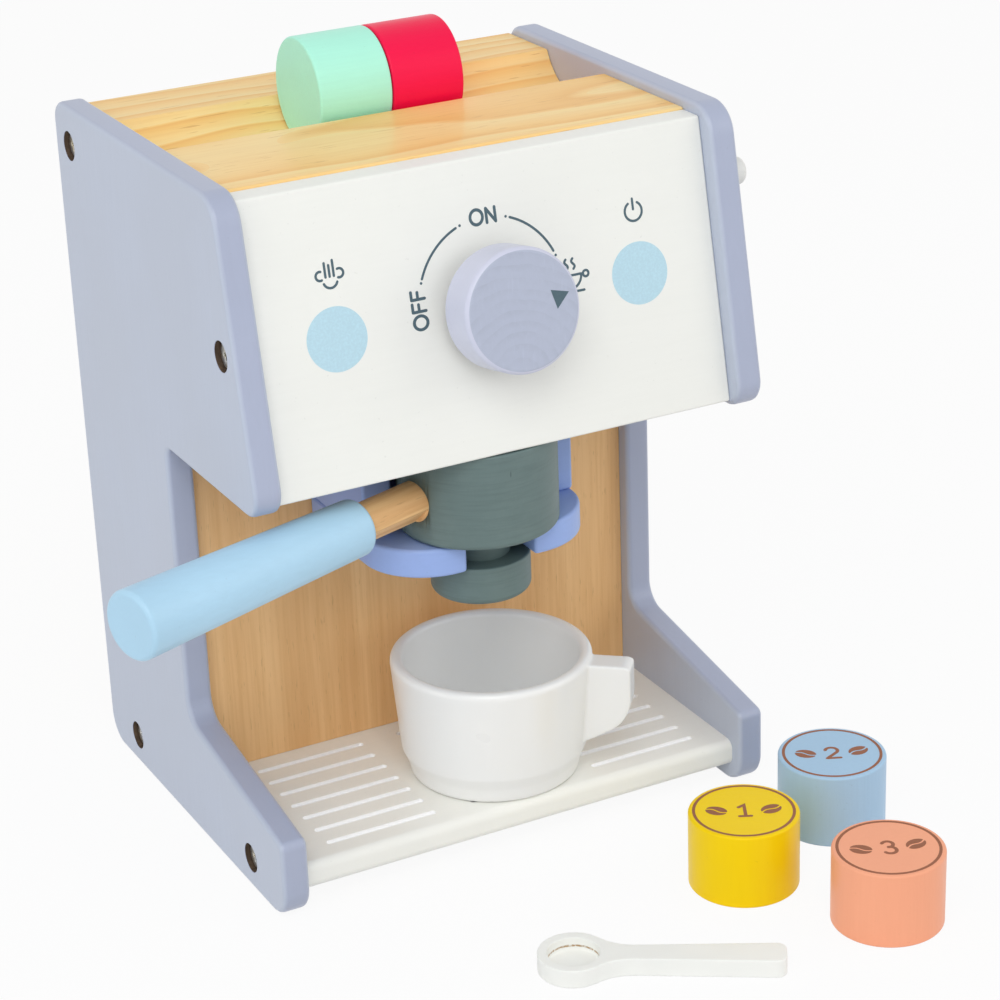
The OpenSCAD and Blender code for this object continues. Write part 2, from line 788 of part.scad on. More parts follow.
left_side_panel();
right_side_panel();
front_panel();
back_panel();
top_board();
tray_board();
left_side_screws();
right_side_screws();
back_panel_dowels();
bracket_block();
fork_plate();
bracket_screws();
fork_dowels();
side_peg();
knob();
knob_spacer();
knob_axle();
knob_collar();
basket();
handle_neck();
grip();
neck_dowel();
spout();
cup();
capsule_mint();
capsule_red();
capsule_yellow();
capsule_blue();
capsule_salmon();
spoon();
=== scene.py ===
import json
import math

import bmesh
import bpy
from mathutils import Matrix, Vector
from mathutils.kdtree import KDTree

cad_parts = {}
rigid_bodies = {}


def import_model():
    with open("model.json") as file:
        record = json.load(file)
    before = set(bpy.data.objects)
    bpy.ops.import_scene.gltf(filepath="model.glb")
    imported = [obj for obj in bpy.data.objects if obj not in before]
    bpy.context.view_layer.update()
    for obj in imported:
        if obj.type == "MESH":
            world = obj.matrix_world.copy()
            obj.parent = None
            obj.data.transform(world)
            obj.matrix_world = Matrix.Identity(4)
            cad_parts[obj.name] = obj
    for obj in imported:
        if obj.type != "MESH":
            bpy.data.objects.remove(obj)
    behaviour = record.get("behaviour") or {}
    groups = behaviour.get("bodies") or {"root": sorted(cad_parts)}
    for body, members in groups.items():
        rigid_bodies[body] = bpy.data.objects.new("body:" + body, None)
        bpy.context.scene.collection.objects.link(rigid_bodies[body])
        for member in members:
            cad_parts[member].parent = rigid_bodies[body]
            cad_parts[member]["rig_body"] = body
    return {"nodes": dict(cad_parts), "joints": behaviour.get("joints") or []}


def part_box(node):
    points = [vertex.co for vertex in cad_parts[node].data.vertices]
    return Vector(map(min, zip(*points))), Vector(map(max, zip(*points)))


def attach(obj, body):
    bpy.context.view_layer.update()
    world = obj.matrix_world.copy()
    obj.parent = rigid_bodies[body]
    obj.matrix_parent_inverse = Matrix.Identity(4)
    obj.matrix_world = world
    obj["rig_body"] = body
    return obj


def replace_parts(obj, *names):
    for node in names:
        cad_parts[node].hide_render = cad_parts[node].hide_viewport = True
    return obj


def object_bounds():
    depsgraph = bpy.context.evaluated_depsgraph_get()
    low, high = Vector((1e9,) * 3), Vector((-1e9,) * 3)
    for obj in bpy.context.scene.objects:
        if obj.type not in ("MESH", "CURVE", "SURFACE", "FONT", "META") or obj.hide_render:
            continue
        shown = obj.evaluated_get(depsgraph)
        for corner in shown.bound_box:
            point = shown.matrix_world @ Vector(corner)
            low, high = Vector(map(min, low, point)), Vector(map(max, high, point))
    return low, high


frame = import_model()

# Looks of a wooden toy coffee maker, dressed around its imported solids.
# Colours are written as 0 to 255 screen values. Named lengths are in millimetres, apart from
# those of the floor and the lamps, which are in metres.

CAD_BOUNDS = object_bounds()
MM = 0.001
JOINTS = {joint["name"]: joint for joint in frame["joints"]}
KNOB_AXIS = Vector(JOINTS["knob_turn"]["axis"]).normalized()
KNOB_PLACE = Vector(JOINTS["knob_turn"]["pos_m"])

# ---------- camera, as fitted to the case's edges in the 1000 x 1000 photograph ----------

CAMERA_AZIMUTH = -27.2005
CAMERA_ELEVATION = 23.2422
CAMERA_ROLL = -2.1302
CAMERA_FOCAL_PX = 2893.89
CAMERA_PLACE = (-378.04, -869.29, 472.92)
PHOTO_SIDE_PX = 1000
SENSOR_WIDTH = 36.0

# ---------- sizes and places of the prints ----------
# A place on the sloping panel is given from its middle plane, and up the slope from its foot.

INK_HEIGHT = 0.05
INK_BASE = -0.02
INK_WIDTH = 0.76
LETTER_WIDTH = 0.92
KNOB_S = 49.19
DIAL_CENTRE = (0.0, 51.75)
DIAL_RADIUS = 24.5
DIAL_ARCS = ((157.0, 112.5), (68.5, 24.5))
DIAL_DOTS = (160.0, 109.0, 71.8, 20.8)
DOT_RADIUS = 0.42
ON_CENTRE = (0.0, 76.4)
OFF_CENTRE = (-24.7, 52.2)
CUP_SIGN_CENTRE = (28.4, 50.2)
DISC_RADIUS = 9.8
LEFT_DISC = (-52.3, 48.8)
RIGHT_DISC = (51.2, 49.7)
STEAM_CENTRE = (-51.9, 68.7)
POWER_CENTRE = (51.4, 69.0)
POINTER = ((9.5, 4.6), (11.1, -1.4), (15.5, 3.1))
# Each standing capsule's digit, and how far its print is turned.
CAPSULE_PRINTS = {
    "capsule_yellow": ("1", -27.0), "capsule_blue": ("2", -24.0), "capsule_salmon": ("3", -20.0)}
CAPSULE_RING_RADIUS = 15.7
CAPSULE_RING_WIDTH = 0.95
DIGIT_WIDTH = 1.15
# Each bean's middle and turn on a capsule's top.
BEANS = (((-8.6, 0.4), -24), ((8.6, 0.4), 30))


def srgb(r, g, b):
    """A screen colour from 0 to 255 as the linear colour that a shader takes."""
    def linear(v):
        v /= 255
        return v / 12.92 if v <= 0.04045 else ((v + 0.055) / 1.055) ** 2.4
    return (linear(r), linear(g), linear(b), 1.0)


def shade(colour, factor):
    """The same linear colour, lighter or darker."""
    return (*(min(1.0, v * factor) for v in colour[:3]), 1.0)


# ---------- materials ----------


class Look:
    """A material's nodes, with a short call for each kind of node that the finishes use."""

    def __init__(self, name):
        self.material = bpy.data.materials.new(name)
        self.material.use_nodes = True
        self.tree = self.material.node_tree
        self.tree.nodes.clear()
        self.shader = self.node("ShaderNodeBsdfPrincipled")
        output = self.node("ShaderNodeOutputMaterial")
        self.tree.links.new(self.shader.outputs["BSDF"], output.inputs["Surface"])
        self.coordinates = self.node("ShaderNodeTexCoord").outputs["Object"]

    def node(self, kind, **settings):
        """A new node of a kind, with these settings."""
        made = self.tree.nodes.new(kind)
        for key, value in settings.items():
            setattr(made, key, value)
        return made

    def feed(self, socket, value):
        """Gives a socket its own value, or links another socket to it."""
        if isinstance(value, bpy.types.NodeSocket):
            self.tree.links.new(value, socket)
        else:
            socket.default_value = value

    def stretched(self, scale, turn=(0, 0, 0)):
        """Coordinates turned by angles in degrees, then scaled along each axis."""
        turned = self.node("ShaderNodeMapping")
        self.feed(turned.inputs["Vector"], self.coordinates)
        turned.inputs["Rotation"].default_value = [math.radians(v) for v in turn]
        scaled = self.node("ShaderNodeMapping")
        self.feed(scaled.inputs["Vector"], turned.outputs["Vector"])
        scaled.inputs["Scale"].default_value = scale
        return scaled.outputs["Vector"]

    def noise(self, scale, where=None, detail=2.0, roughness=0.5, distortion=0.0):
        made = self.node("ShaderNodeTexNoise")
        self.feed(made.inputs["Vector"], self.coordinates if where is None else where)
        made.inputs["Scale"].default_value = scale
        made.inputs["Detail"].default_value = detail
        made.inputs["Roughness"].default_value = roughness
        made.inputs["Distortion"].default_value = distortion
        return made.outputs["Fac"]

    def maths(self, operation, a, b=0.0):
        made = self.node("ShaderNodeMath", operation=operation)
        self.feed(made.inputs[0], a)
        self.feed(made.inputs[1], b)
        return made.outputs[0]

    def length(self, a, b):
        """The length of a step of a and b at right angles, such as a point's distance from an axis."""
        squares = [self.maths("POWER", side, 2.0) for side in (a, b)]
        return self.maths("SQRT", self.maths("ADD", *squares))

    def growth_rings(self, radius, drift, per_metre):
        """0 to 1 across each growth ring, from the distance to the pith and how far the rings drift."""
        return self.maths("FRACT", self.maths("MULTIPLY", self.maths("ADD", radius, drift), per_metre))

    def spread(self, value, low, high, to_low=0.0, to_high=1.0):
        """value's stretch from low to high, spread over another stretch and held at its ends."""
        made = self.node("ShaderNodeMapRange", clamp=True)
        self.feed(made.inputs["Value"], value)
        made.inputs["From Min"].default_value = low
        made.inputs["From Max"].default_value = high
        made.inputs["To Min"].default_value = to_low
        made.inputs["To Max"].default_value = to_high
        return made.outputs["Result"]

    def mix(self, amount, a, b, how="MIX"):
        made = self.node("ShaderNodeMix", data_type="RGBA", blend_type=how)
        self.feed(made.inputs[0], amount)
        self.feed(made.inputs[6], a)
        self.feed(made.inputs[7], b)
        return made.outputs[2]

    def shaded(self, colour, factor):
        """colour, a value or a socket, made lighter or darker."""
        if not isinstance(colour, bpy.types.NodeSocket):
            return shade(colour, factor)
        return self.mix(1.0, colour, (factor, factor, factor, 1.0), how="MULTIPLY")

    def ramp(self, value, stops):
        made = self.node("ShaderNodeValToRGB")
        self.feed(made.inputs["Fac"], value)
        elements = made.color_ramp.elements
        while len(elements) < len(stops):
            elements.new(0.5)
        for element, (place, colour) in zip(elements, stops):
            element.position = place
            element.color = colour
        return made.outputs["Color"]

    def dot(self, direction, origin):
        """How far a point lies from origin along direction, in metres."""
        offset = self.node("ShaderNodeVectorMath", operation="SUBTRACT")
        self.feed(offset.inputs[0], self.coordinates)
        offset.inputs[1].default_value = origin
        made = self.node("ShaderNodeVectorMath", operation="DOT_PRODUCT")
        self.feed(made.inputs[0], offset.outputs["Vector"])
        made.inputs[1].default_value = direction
        return made.outputs["Value"]

    def bump(self, height, depth, below=None):
        """A surface normal from a height of 0 to 1, as deep as depth in millimetres."""
        made = self.node("ShaderNodeBump")
        made.inputs["Strength"].default_value = 1.0
        made.inputs["Distance"].default_value = depth * MM
        self.feed(made.inputs["Height"], height)
        if below is not None:
            self.feed(made.inputs["Normal"], below)
        return made.outputs["Normal"]

    def specks(self, size, share):
        """1 in small scattered specks of about that size in millimetres, and 0 elsewhere."""
        soft_edge = 0.03
        return self.spread(self.noise(1 / (size * MM), detail=1.0), 1 - share, 1 - share + soft_edge)

    def finish(self, colour, roughness, normal, coat=0.0, coat_roughness=0.1, metallic=0.0, specular=0.5):
        """Feeds the shader, with what is the same all over set on its own sockets."""
        self.feed(self.shader.inputs["Base Color"], colour)
        self.feed(self.shader.inputs["Roughness"], roughness)
        self.feed(self.shader.inputs["Normal"], normal)
        self.shader.inputs["Coat Weight"].default_value = coat
        self.shader.inputs["Coat Roughness"].default_value = coat_roughness
        self.shader.inputs["Metallic"].default_value = metallic
        self.shader.inputs["Specular IOR Level"].default_value = specular
        return self.material


def paint(name, colour, grain, gloss, texture=1.0, mottle=0.03, edge=None, specular=0.4):
    """Satin paint on wood: faint clouds, raised grain along the grain axis, orange peel and dust specks.
    edge is the colour on faces that look along Y and Z, such as the board's front and top edges; it is
    painted shade there, for these faces get less light than the sides."""
    speck_size = 1.1
    speck_share = 0.245
    look = Look(name)
    along = [700.0, 700.0, 700.0]
    along[grain] = 45.0
    fibres = look.noise(1.0, look.stretched(along), detail=4.0, roughness=0.6)
    clouds = look.noise(22.0, detail=3.0)
    peel = look.noise(900.0, detail=1.5)
    base = colour
    # The edge colour on faces that look along Y and Z is painted shade: the lamps light these faces less
    # than the sides.
    if edge is not None:
        facing = look.node("ShaderNodeSeparateXYZ")
        look.feed(facing.inputs[0], look.node("ShaderNodeTexCoord").outputs["Normal"])
        sideways = look.spread(look.maths("ABSOLUTE", facing.outputs["X"]), 0.25, 0.85)
        base = look.mix(sideways, edge, colour)
    cloudy = look.mix(look.spread(clouds, 0.35, 0.65),
                      look.shaded(base, 1 - mottle), look.shaded(base, 1 + mottle))
    streaked = look.mix(look.spread(fibres, 0.3, 0.7, 0.0, 0.35 * texture),
                        cloudy, look.shaded(base, 0.955))
    dust = look.maths("MULTIPLY", look.specks(speck_size, speck_share), 0.25)
    dusty = look.mix(dust, streaked, look.shaded(base, 0.72))
    grainy = look.bump(fibres, 0.035 * texture)
    normal = look.bump(peel, 0.02 * texture, below=grainy)
    rough = look.spread(clouds, 0.3, 0.7, gloss - 0.04, gloss + 0.05)
    return look.finish(dusty, rough, normal, specular=specular)


def pine(name, pith):
    """Clear-coated pine with its grain along X, whose rings round a pith line are cut by the surface."""
    rings_per_metre = 175.0
    ring_drift = 11 * MM
    look = Look(name)
    wander = look.noise(1.0, look.stretched((6.0, 16.0, 16.0)), detail=2.0)
    drift = look.spread(wander, 0.0, 1.0, -ring_drift, ring_drift)
    radius = look.length(look.dot((0, 1, 0), pith), look.dot((0, 0, 1), pith))
    body = look.ramp(look.growth_rings(radius, drift, rings_per_metre), [
        (0.0, srgb(255, 228, 166)), (0.35, srgb(255, 221, 154)), (0.74, srgb(252, 208, 134)),
        (0.90, srgb(246, 196, 122)), (0.985, srgb(255, 220, 152))])
    fibres = look.noise(1.0, look.stretched((22.0, 900.0, 900.0)), detail=4.0, roughness=0.65)
    warm = look.noise(1.0, look.stretched((7.0, 30.0, 30.0)), detail=2.0)
    toned = look.mix(look.spread(warm, 0.4, 0.7, 0.0, 0.3), body, srgb(252, 204, 128))
    fine = look.mix(look.spread(fibres, 0.42, 0.75, 0.0, 0.22), toned, srgb(228, 176, 108))
    ducts = look.noise(1.0, look.stretched((95.0, 1500.0, 1500.0)), detail=1.0)
    marked = look.mix(look.spread(ducts, 0.69, 0.74, 0.0, 0.4), fine, srgb(196, 140, 80))
    return look.finish(marked, 0.42, look.bump(fibres, 0.03), coat=0.14, coat_roughness=0.12, specular=0.12)


def hardwood(name, colour, dark, grain, turn=(0, 0, 0), bands=14.0, contrast=0.55):
    """Bare close-grained hardwood, with soft bands, fine fibres and short pores along the grain axis."""
    look = Look(name)

    def along(fine, coarse):
        scale = [fine, fine, fine]
        scale[grain] = coarse
        return look.stretched(scale, turn)

    broad = look.noise(1.0, along(bands * 5, bands * 0.22), detail=4.0, roughness=0.6, distortion=0.5)
    fibres = look.noise(1.0, along(1100.0, 28.0), detail=4.0, roughness=0.6)
    pores = look.spread(look.noise(1.0, along(2200.0, 190.0), detail=1.0), 0.68, 0.74, 0.0, 0.3)
    banded = look.mix(look.spread(broad, 0.35, 0.66, 0.0, contrast), colour, dark)
    streaked = look.mix(look.spread(fibres, 0.4, 0.75, 0.0, 0.4), banded, dark)
    pored = look.mix(pores, streaked, shade(dark, 0.62))
    rough = look.spread(fibres, 0.3, 0.7, 0.46, 0.6)
    return look.finish(pored, rough, look.bump(fibres, 0.05), specular=0.35)


def slate_paint(name):
    """Thin slate green paint, wiped on turned wood, that shows streaks and small nicks."""
    look = Look(name)
    streaks = look.noise(1.0, look.stretched((60.0, 60.0, 900.0)), detail=4.0, roughness=0.62)
    patches = look.noise(70.0, detail=4.0, roughness=0.6)
    light = look.mix(look.spread(patches, 0.42, 0.68, 0.0, 0.3), srgb(101, 121, 120), srgb(122, 140, 138))
    wiped = look.mix(look.spread(streaks, 0.45, 0.72, 0.0, 0.35), light, srgb(84, 101, 101))
    dents = look.noise(1.0, look.stretched((420.0, 420.0, 150.0)), detail=2.0)
    nicked = look.mix(look.spread(dents, 0.72, 0.75, 0.0, 0.45), wiped, srgb(52, 62, 62))
    normal = look.bump(look.noise(700.0), 0.025, below=look.bump(streaks, 0.04))
    return look.finish(nicked, look.spread(patches, 0.3, 0.7, 0.42, 0.58), normal, specular=0.4)


def end_grain_paint(name, colour, panel):
    """Thin paint on a knob's end grain, with the growth rings showing through as raised arcs."""
    rings_per_metre = 290.0
    ring_wobble = 2.2 * MM
    pith_x, pith_s = -3.5, -20.0
    look = Look(name)
    right, up, _ = panel.to_3x3().col
    pith = panel @ Vector((pith_x * MM, pith_s * MM, 0))
    radius = look.length(look.dot(right, pith), look.dot(up, pith))
    wobble = look.spread(look.noise(60.0, detail=3.0), 0.0, 1.0, -ring_wobble, ring_wobble)
    late = look.spread(look.growth_rings(radius, wobble, rings_per_metre), 0.35, 0.95)
    grain = look.noise(620.0, detail=3.0, roughness=0.65)
    scratch = look.noise(1.0, look.stretched((1300.0, 150.0, 150.0), (0, 0, 28)), detail=2.0)
    faint = look.spread(look.noise(130.0, detail=2.0), 0.35, 0.7, 0.06, 0.42)
    ringed = look.mix(look.maths("MULTIPLY", late, faint), shade(colour, 1.04), shade(colour, 0.84))
    grained = look.mix(look.spread(grain, 0.42, 0.7, 0.0, 0.35), ringed, shade(colour, 1.12))
    rubbed = look.mix(look.spread(scratch, 0.62, 0.75, 0.0, 0.4), grained, shade(colour, 1.16))
    normal = look.bump(grain, 0.05, below=look.bump(scratch, 0.03))
    return look.finish(rubbed, look.spread(grain, 0.3, 0.7, 0.36, 0.5), normal, specular=0.4)


def ink(name, colour):
    """Screen-printed ink, a little uneven at the scale of the paint below it."""
    look = Look(name)
    uneven = look.noise(1400.0, detail=2.0)
    printed = look.mix(look.spread(uneven, 0.4, 0.75, 0.0, 0.35), colour, shade(colour, 1.25))
    return look.finish(printed, 0.5, look.bump(uneven, 0.01), specular=0.35)


def zinc(name):
    """Zinc-plated steel with fine turned marks and a slight colour drift."""
    look = Look(name)
    marks = look.noise(1.0, look.stretched((200.0, 2600.0, 2600.0)), detail=3.0)
    drift = look.noise(260.0, detail=1.0)
    colour = look.mix(look.spread(drift, 0.35, 0.65), srgb(196, 200, 204), srgb(206, 198, 176))
    rough = look.spread(marks, 0.3, 0.7, 0.24, 0.42)
    return look.finish(colour, rough, look.bump(marks, 0.02), metallic=1.0)


def cup_glaze(name):
    """Thick glossy white paint with a faint orange peel and a slight drift of tone."""
    look = Look(name)
    peel = look.noise(800.0, detail=1.5)
    tint = look.noise(16.0, detail=2.0)
    colour = look.mix(look.spread(tint, 0.35, 0.65), srgb(246, 246, 244), srgb(243, 244, 243))
    return look.finish(colour, look.spread(tint, 0.35, 0.65, 0.27, 0.31), look.bump(peel, 0.008),
                       coat=0.2, coat_roughness=0.12)


def spoon_paint(name, bowl, hole_radius):
    """White paint, thin enough to show a brown ring low on the drilled bowl's wall."""
    ring_depth = 2.8 * MM
    wall_reach = 0.42 * MM
    look = Look(name)
    radius = look.length(look.dot((1, 0, 0), bowl), look.dot((0, 1, 0), bowl))
    off_wall = look.maths("ABSOLUTE", look.maths("SUBTRACT", radius, hole_radius))
    on_wall = look.spread(off_wall, 0.0, wall_reach, 1.0, 0.0)
    depth = look.maths("ABSOLUTE", look.dot((0, 0, 1), bowl))
    off_ring = look.maths("ABSOLUTE", look.maths("SUBTRACT", depth, ring_depth))
    ring = look.maths("MULTIPLY", on_wall, look.spread(off_ring, 0.2 * MM, 0.5 * MM, 1.0, 0.0))
    ragged = look.spread(look.noise(1300.0, detail=3.0, roughness=0.7), 0.3, 0.65)
    worn = look.spread(look.maths("MULTIPLY", ring, ragged), 0.15, 0.7)
    tint = look.noise(30.0, detail=2.0)
    white = look.mix(look.spread(tint, 0.35, 0.65), srgb(249, 250, 246), srgb(244, 245, 241))
    colour = look.mix(worn, white, srgb(176, 142, 98))
    fibres = look.noise(1.0, look.stretched((60.0, 800.0, 800.0), (0, 0, 31)), detail=3.0)
    return look.finish(colour, 0.45, look.bump(fibres, 0.03), specular=0.4)


def raw_wood_with_painted_shade(name):
    """Raw wood inside a counterbore, painted darker than bare wood as painted shade of the recess."""
    look = Look(name)
    fibres = look.noise(1.0, look.stretched((900.0, 900.0, 140.0)), detail=4.0)
    colour = look.mix(look.spread(fibres, 0.3, 0.7), srgb(104, 86, 70), srgb(66, 54, 46))
    return look.finish(colour, 0.75, look.bump(fibres, 0.12), specular=0.2)


# ---------- pieces made from the solids ----------


def add_piece(name, mesh, materials, node):
    """Puts a mesh in the scene with these materials, as a piece that rides on a solid's body."""
    piece = bpy.data.objects.new(name, mesh)
    bpy.context.scene.collection.objects.link(piece)
    for material in materials:
        mesh.materials.append(material)
    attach(piece, frame["nodes"][node]["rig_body"])
    return piece


def plate_mesh(node):
    """A copy of a solid's mesh with its seams closed and its flat faces whole."""
    merge_distance = 0.002 * MM
    flat_angle = math.radians(0.2)
    bm = bmesh.new()
    bm.from_mesh(frame["nodes"][node].data)
    bmesh.ops.remove_doubles(bm, verts=bm.verts, dist=merge_distance)
    bmesh.ops.dissolve_limit(bm, angle_limit=flat_angle, verts=bm.verts, edges=bm.edges)
    return bm


def mesh_from(bm, name):
    """A named mesh from a bmesh, which is freed."""
    mesh = bpy.data.meshes.new(name)
    bm.to_mesh(mesh)
    bm.free()
    return mesh


def round_edges(bm, bevel, segments, keep):
    """Rounds the sharp edges that the test keep lets through."""
    crease = math.radians(40)
    edges = [e for e in bm.edges if e.is_manifold and e.calc_face_angle() > crease and keep(e)]
    bmesh.ops.bevel(bm, geom=edges, offset=bevel * MM, segments=segments, profile=0.5,
                    affect="EDGES", clamp_overlap=False)


def dress(node, material, bevel=0.0, segments=3, extra=(), pick=None, crisp=None):
    """Replaces a solid with its own shape under rounded edges. pick gives a face the number of
    its material, and crisp tests for the edges that stay nearly sharp."""
    crisp_bevel = 0.12
    sharp_angle = math.radians(35)
    bm = plate_mesh(node)
    if crisp:
        round_edges(bm, crisp_bevel, 1, crisp)
    if bevel:
        round_edges(bm, bevel, segments, lambda edge: not (crisp and crisp(edge)))
    if pick:
        for face in bm.faces:
            face.material_index = pick(face)
    mesh = mesh_from(bm, node + "_dressed")
    mesh.shade_smooth()
    mesh.set_sharp_from_angle(angle=sharp_angle)
    piece = add_piece(node + "_dressed", mesh, [material, *extra], node)
    even = piece.modifiers.new("even_shading", "WEIGHTED_NORMAL")
    even.mode = "FACE_AREA"
    even.keep_sharp = True
    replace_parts(piece, node)


def soften(node, material, voxel, passes):
    """Replaces a solid with a copy whose edges and joints are rounded, as thick paint rounds them."""
    unrounded = mesh_from(plate_mesh(node), "unrounded")
    draft = bpy.data.objects.new("draft", unrounded)
    bpy.context.scene.collection.objects.link(draft)
    remesh = draft.modifiers.new("even", "REMESH")
    remesh.mode = "VOXEL"
    remesh.voxel_size = voxel * MM
    smooth = draft.modifiers.new("round", "SMOOTH")
    smooth.factor = 0.5
    smooth.iterations = passes
    bpy.context.view_layer.update()
    evaluated = draft.evaluated_get(bpy.context.evaluated_depsgraph_get())
    rounded = bpy.data.meshes.new_from_object(evaluated)
    bpy.data.objects.remove(draft)
    bpy.data.meshes.remove(unrounded)
    rounded.name = node + "_softened"
    rounded.shade_smooth()
    rounded.materials.clear()
    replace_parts(add_piece(node + "_softened", rounded, [material], node), node)


def coat_node(node, material):
    """Gives a solid that stays as it is its material."""
    mesh = frame["nodes"][node].data
    mesh.materials.clear()
    mesh.materials.append(material)


def near(*nodes):
    """A test of whether a point lies close to the named solids' corners."""
    reach = 2.6 * MM
    points = [v.co for node in nodes for v in frame["nodes"][node].data.vertices]
    tree = KDTree(len(points))
    for i, point in enumerate(points):
        tree.insert(point, i)
    tree.balance()
    return lambda point: tree.find(point)[2] < reach


def in_counterbore(panel, close):
    """A picker of the faces that line a panel's counterbores, from a test of what lies by the screws."""
    skin = 0.5 * MM
    wall_tilt, floor_tilt = 0.3, 0.9
    low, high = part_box(panel)

    def pick(face):
        facing = abs(face.normal.x)
        inside = low.x + skin < face.calc_center_median().x < high.x - skin
        lining = facing < wall_tilt or facing > floor_tilt
        return 1 if inside and lining and any(close(v.co) for v in face.verts) else 0
    return pick


def off_axis(direction):
    """A picker of the faces that turn away from a direction and its opposite."""
    facing = 0.9
    return lambda face: 1 if abs(face.normal.dot(direction)) < facing else 0


def in_grooves(board):
    """A picker of the faces that line the drip grooves in a board's top."""
    front_rim = 4 * MM
    side_rim = 1 * MM
    shallow, deep = 0.2 * MM, 1.2 * MM
    low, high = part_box(board)

    def pick(face):
        centre = face.calc_center_median()
        level = high.z - deep < centre.z < high.z - shallow
        inside = low.y + front_rim < centre.y and low.x + side_rim < centre.x < high.x - side_rim
        return 1 if level and inside else 0
    return pick


# ---------- prints ----------


def panel_frame():
    """The sloping panel's frame, from the knob's centre on its face: X right, Y up the slope, Z out."""
    right = Vector((1, 0, 0))
    turned = Matrix((right, KNOB_AXIS.cross(right), KNOB_AXIS)).transposed().to_4x4()
    turned.translation = KNOB_PLACE
    return turned


def on_panel(place, centre, turn=0.0):
    """A flat frame on the panel, at a place on it, turned in degrees."""
    x, s = centre
    spot = Matrix.Translation(Vector((x * MM, (s - KNOB_S) * MM, 0)))
    return place @ spot @ Matrix.Rotation(math.radians(turn), 4, "Z")


def arc(centre, radius, start, end, steps=24, squash=1.0):
    """Points on an arc, from start to end in degrees. squash flattens it upright."""
    angles = (math.radians(start + (end - start) * i / steps) for i in range(steps + 1))
    return [(centre[0] + radius * math.cos(a), centre[1] + radius * squash * math.sin(a)) for a in angles]


def ring_outline(centre, radius, squash=1.0, steps=64):
    """A closed circle of points, or an oval where it is squashed."""
    return arc(centre, radius, 0, 360, steps, squash)[:-1]


def stroke_outline(points, width):
    """The outline of a pen stroke with round ends along 2D points."""
    cap_steps = 6
    tightest_turn = 0.5
    half = width / 2
    pts = [Vector(p) for p in points]
    left, right = [], []
    for i, p in enumerate(pts):
        before = (p - pts[i - 1]).normalized() if i else (pts[1] - p).normalized()
        after = (pts[i + 1] - p).normalized() if i < len(pts) - 1 else before
        along = (before + after).normalized()
        across = Vector((-along.y, along.x)) * half / max(tightest_turn, along.dot(before))
        left.append(p + across)
        right.append(p - across)

    def cap(centre, start):
        base = math.atan2(start.y - centre.y, start.x - centre.x)
        angles = (base - math.pi * k / cap_steps for k in range(1, cap_steps))
        return [centre + half * Vector((math.cos(a), math.sin(a))) for a in angles]
    return left + cap(pts[-1], left[-1]) + right[::-1] + cap(pts[0], right[0])


def raised_points(bm, outline, height, place):
    """A bmesh point over each point of an outline in a flat frame."""
    return [bm.verts.new(place @ Vector((x * MM, y * MM, height * MM))) for x, y in outline]


def raise_outline(bm, outline, height, place):
    """Adds a thin plate over an outline in a flat frame."""
    top = raised_points(bm, outline, height, place)
    low = raised_points(bm, outline, INK_BASE, place)
    bm.faces.new(top)
    bm.faces.new(low[::-1])
    for i in range(len(outline)):
        j = (i + 1) % len(outline)
        bm.faces.new((top[i], low[i], low[j], top[j]))


def raise_ring(bm, outer, inner, height, place):
    """Adds a thin plate between two outlines that have as many points as each other."""
    rows = [raised_points(bm, ring, z, place)
            for ring, z in ((outer, height), (inner, height), (inner, INK_BASE), (outer, INK_BASE))]
    for k, row in enumerate(rows):
        following = rows[(k + 1) % len(rows)]
        for i in range(len(row)):
            j = (i + 1) % len(row)
            bm.faces.new((row[i], row[j], following[j], following[i]))


def print_piece(name, node, place, material, strokes=(), width=INK_WIDTH, fills=(), rings=()):
    """One printed mark on a solid: pen strokes, filled outlines, and rings as (centre, radius,
    squash, width). Each part of it lies a little higher than the one before, so that none flickers."""
    step = 0.002
    bm = bmesh.new()
    height = INK_HEIGHT
    for outline in [*(stroke_outline(points, width) for points in strokes), *fills]:
        raise_outline(bm, outline, height, place)
        height += step
    for centre, radius, squash, thick in rings:
        raise_ring(bm, ring_outline(centre, radius + thick / 2, squash),
                   ring_outline(centre, radius - thick / 2, squash), height, place)
        height += step
    bmesh.ops.recalc_face_normals(bm, faces=bm.faces)
    bmesh.ops.triangulate(bm, faces=[f for f in bm.faces if len(f.verts) > 4])
    add_piece(name, mesh_from(bm, name), [material], node)


def letter_strokes(letter, height):
    """Pen strokes of a capital N or F, with its left foot at the origin, and its width."""
    n_width, f_width = 0.68 * height, 0.56 * height
    bar_height, bar_length = 0.52 * height, 0.88 * f_width
    stem = [(0, 0), (0, height)]
    if letter == "N":
        return [stem, [(0, height), (n_width, 0)], [(n_width, 0), (n_width, height)]], n_width
    return [stem, [(0, height), (f_width, height)], [(0, bar_height), (bar_length, bar_height)]], f_width


def word(name, letters, place, material):
    """A word of capital letters, centred on the place. O is a ring, and the others are strokes."""
    height = 4.35
    gap = 1.3
    o_radius = 2.08
    o_squash = 1.08
    widths = [2 * o_radius if c == "O" else letter_strokes(c, height)[1] for c in letters]
    x = -(sum(widths) + gap * (len(letters) - 1)) / 2
    strokes, rings = [], []
    for letter, wide in zip(letters, widths):
        if letter == "O":
            rings.append(((x + wide / 2, 0), o_radius, o_squash, LETTER_WIDTH))
        else:
            for points in letter_strokes(letter, height)[0]:
                strokes.append([(x + px, py - height / 2) for px, py in points])
        x += wide + gap
    print_piece(name, "front_panel", place, material, strokes, LETTER_WIDTH, rings=rings)


